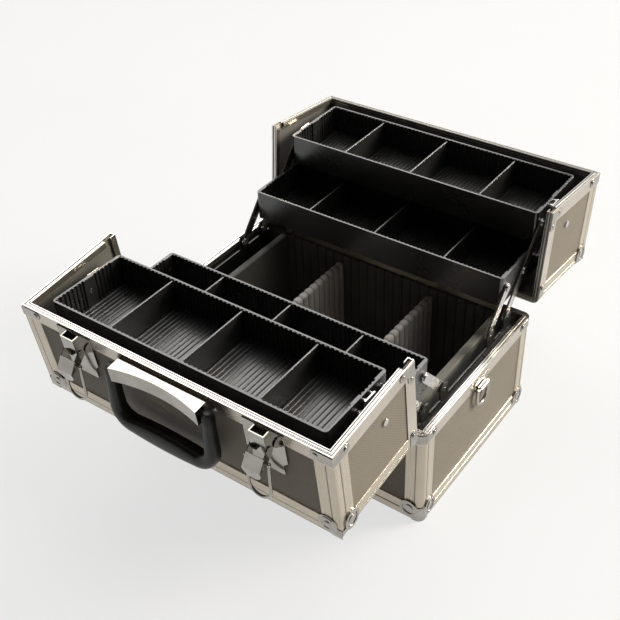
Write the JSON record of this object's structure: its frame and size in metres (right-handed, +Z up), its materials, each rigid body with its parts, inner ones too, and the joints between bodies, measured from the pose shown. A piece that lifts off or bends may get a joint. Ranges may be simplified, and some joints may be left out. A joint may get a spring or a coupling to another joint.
{
  "type": "makeup train case",
  "caption": "Framed hard case with a box base, split lid halves that fold back on hinges, cantilever trays on arms, latches and a folding handle.",
  "frame": {"origin": "middle of the base's flat underside", "axes": "+Z up, +Y from the handle side to the rear lid half, +X to the right of a person facing the handle"},
  "size_m": [0.3778, 0.5501, 0.2389],
  "materials": {
    "aluminium": "satin drawn section",
    "dark_board": "fine dotted sheet",
    "black_lining": "dark lining cloth",
    "grey_padding": "ribbed padded cloth",
    "black_plastic": "moulded satin",
    "black_metal": "black coated",
    "bright_steel": "bright plated",
    "chrome": "polished plate",
    "grip_rubber": "soft moulded grip"
  },
  "bodies": {
    "base": {"base_corner_pieces": "chrome", "base_divider_left": "grey_padding", "base_divider_right": "grey_padding", "base_edge_frame": "aluminium", "base_floor_panel": "dark_board", "base_liner": "black_lining", "base_rim": "aluminium", "base_wall_panels": "dark_board", "channel_rivets": "bright_steel", "hinge_base_leaves": "chrome", "hinge_pins": "chrome", "pivot_channels": "black_metal", "ring_clips": "chrome"},
    "front_lid": {"front_lid_corner_pieces": "chrome", "front_lid_edge_frame": "aluminium", "front_lid_guide_pins": "bright_steel", "front_lid_hinge_leaves": "chrome", "front_lid_lining": "black_lining", "front_lid_panels": "dark_board", "front_lid_rims": "aluminium", "handle_mount": "chrome", "latch_brackets": "chrome", "latch_plates": "chrome"},
    "front_long_arms": {"front_long_arms": "bright_steel"},
    "front_lower_tray": {"front_lower_tray": "black_plastic", "front_lower_tray_dividers": "black_plastic", "front_lower_tray_rivets": "bright_steel"},
    "front_short_arms": {"front_short_arms": "bright_steel"},
    "front_upper_arms": {"front_upper_arms": "bright_steel"},
    "front_upper_tray": {"front_upper_tray": "black_plastic", "front_upper_tray_dividers": "black_plastic", "front_upper_tray_guides": "bright_steel", "front_upper_tray_rivets": "bright_steel"},
    "handle": {"handle": "grip_rubber"},
    "latch_bail_left": {"latch_bail_left": "chrome"},
    "latch_bail_right": {"latch_bail_right": "chrome"},
    "rear_lid": {"latch_catches": "chrome", "rear_lid_corner_pieces": "chrome", "rear_lid_edge_frame": "aluminium", "rear_lid_guide_pins": "bright_steel", "rear_lid_hinge_leaves": "chrome", "rear_lid_lining": "black_lining", "rear_lid_panels": "dark_board", "rear_lid_rims": "aluminium"},
    "latch_lever_left": {"latch_lever_left": "chrome"},
    "latch_lever_right": {"latch_lever_right": "chrome"},
    "rear_long_arms": {"rear_long_arms": "bright_steel"},
    "rear_lower_tray": {"rear_lower_tray": "black_plastic", "rear_lower_tray_dividers": "black_plastic", "rear_lower_tray_rivets": "bright_steel"},
    "rear_short_arms": {"rear_short_arms": "bright_steel"},
    "rear_upper_arms": {"rear_upper_arms": "bright_steel"},
    "rear_upper_tray": {"rear_upper_tray": "black_plastic", "rear_upper_tray_dividers": "black_plastic", "rear_upper_tray_guides": "bright_steel", "rear_upper_tray_rivets": "bright_steel"},
    "strap_ring_left": {"strap_ring_left": "chrome"},
    "strap_ring_right": {"strap_ring_right": "chrome"}
  },
  "joints": [
    {"name": "front_lid_hinge", "type": "hinge", "parent": "base", "child": "front_lid", "pos_m": [0, -0.1209, 0.1196], "axis": [-1, 0, 0], "range_deg": [0, 96]},
    {"name": "front_short_arm_pivot", "type": "hinge", "parent": "base", "child": "front_short_arms", "pos_m": [0, -0.04833, 0.1286], "axis": [-1, 0, 0], "range_deg": [0, 86]},
    {"name": "front_long_arm_pivot", "type": "hinge", "parent": "base", "child": "front_long_arms", "pos_m": [0, -0.08593, 0.1286], "axis": [-1, 0, 0], "range_deg": [0, 86]},
    {"name": "front_lower_tray_pivot", "type": "hinge", "parent": "front_long_arms", "child": "front_lower_tray", "pos_m": [0, -0.1217, 0.16903], "axis": [-1, 0, 0], "range_deg": [-86, 0]},
    {"name": "front_upper_arm_pivot", "type": "hinge", "parent": "front_lower_tray", "child": "front_upper_arms", "pos_m": [0, -0.1593, 0.16903], "axis": [-1, 0, 0], "range_deg": [0, 86]},
    {"name": "front_upper_tray_pivot", "type": "hinge", "parent": "front_long_arms", "child": "front_upper_tray", "pos_m": [0, -0.15747, 0.20945], "axis": [-1, 0, 0], "range_deg": [-86, 0]},
    {"name": "rear_lid_hinge", "type": "hinge", "parent": "base", "child": "rear_lid", "pos_m": [0, 0.1209, 0.1196], "axis": [1, 0, 0], "range_deg": [0, 96]},
    {"name": "rear_short_arm_pivot", "type": "hinge", "parent": "base", "child": "rear_short_arms", "pos_m": [0, 0.04833, 0.1286], "axis": [1, 0, 0], "range_deg": [0, 86]},
    {"name": "rear_long_arm_pivot", "type": "hinge", "parent": "base", "child": "rear_long_arms", "pos_m": [0, 0.08593, 0.1286], "axis": [1, 0, 0], "range_deg": [0, 86]},
    {"name": "rear_lower_tray_pivot", "type": "hinge", "parent": "rear_long_arms", "child": "rear_lower_tray", "pos_m": [0, 0.1217, 0.16903], "axis": [1, 0, 0], "range_deg": [-86, 0]},
    {"name": "rear_upper_arm_pivot", "type": "hinge", "parent": "rear_lower_tray", "child": "rear_upper_arms", "pos_m": [0, 0.1593, 0.16903], "axis": [1, 0, 0], "range_deg": [0, 86]},
    {"name": "rear_upper_tray_pivot", "type": "hinge", "parent": "rear_long_arms", "child": "rear_upper_tray", "pos_m": [0, 0.15747, 0.20945], "axis": [1, 0, 0], "range_deg": [-86, 0]},
    {"name": "handle_swing", "type": "hinge", "parent": "front_lid", "child": "handle", "pos_m": [0, -0.26922, 0.2115], "axis": [-1, 0, 0], "range_deg": [-2.5, 95]},
    {"name": "latch_lever_lift_left", "type": "hinge", "parent": "front_lid", "child": "latch_lever_left", "pos_m": [-0.112, -0.26598, 0.20169], "axis": [1, 0, 0], "range_deg": [-75, 0]},
    {"name": "latch_bail_swing_left", "type": "hinge", "parent": "latch_lever_left", "child": "latch_bail_left", "pos_m": [-0.112, -0.2718, 0.19236], "axis": [-1, 0, 0], "range_deg": [-4, 186]},
    {"name": "latch_lever_lift_right", "type": "hinge", "parent": "front_lid", "child": "latch_lever_right", "pos_m": [0.112, -0.26598, 0.20169], "axis": [1, 0, 0], "range_deg": [-75, 0]},
    {"name": "latch_bail_swing_right", "type": "hinge", "parent": "latch_lever_right", "child": "latch_bail_right", "pos_m": [0.112, -0.2718, 0.19236], "axis": [-1, 0, 0], "range_deg": [-4, 186]},
    {"name": "strap_ring_swing_right", "type": "hinge", "parent": "base", "child": "strap_ring_right", "pos_m": [0.1857, 0, 0.105], "axis": [0, -1, 0], "range_deg": [0, 100]},
    {"name": "strap_ring_swing_left", "type": "hinge", "parent": "base", "child": "strap_ring_left", "pos_m": [-0.1857, 0, 0.105], "axis": [0, 1, 0], "range_deg": [0, 100]}
  ],
  "couplings": [
    {"joint": "front_short_arm_pivot", "follows": "front_lid_hinge", "ratio": 0.89583},
    {"joint": "front_long_arm_pivot", "follows": "front_lid_hinge", "ratio": 0.89583},
    {"joint": "front_lower_tray_pivot", "follows": "front_lid_hinge", "ratio": -0.89583},
    {"joint": "front_upper_arm_pivot", "follows": "front_lid_hinge", "ratio": 0.89583},
    {"joint": "front_upper_tray_pivot", "follows": "front_lid_hinge", "ratio": -0.89583},
    {"joint": "rear_short_arm_pivot", "follows": "rear_lid_hinge", "ratio": 0.89583},
    {"joint": "rear_long_arm_pivot", "follows": "rear_lid_hinge", "ratio": 0.89583},
    {"joint": "rear_lower_tray_pivot", "follows": "rear_lid_hinge", "ratio": -0.89583},
    {"joint": "rear_upper_arm_pivot", "follows": "rear_lid_hinge", "ratio": 0.89583},
    {"joint": "rear_upper_tray_pivot", "follows": "rear_lid_hinge", "ratio": -0.89583}
  ]
}
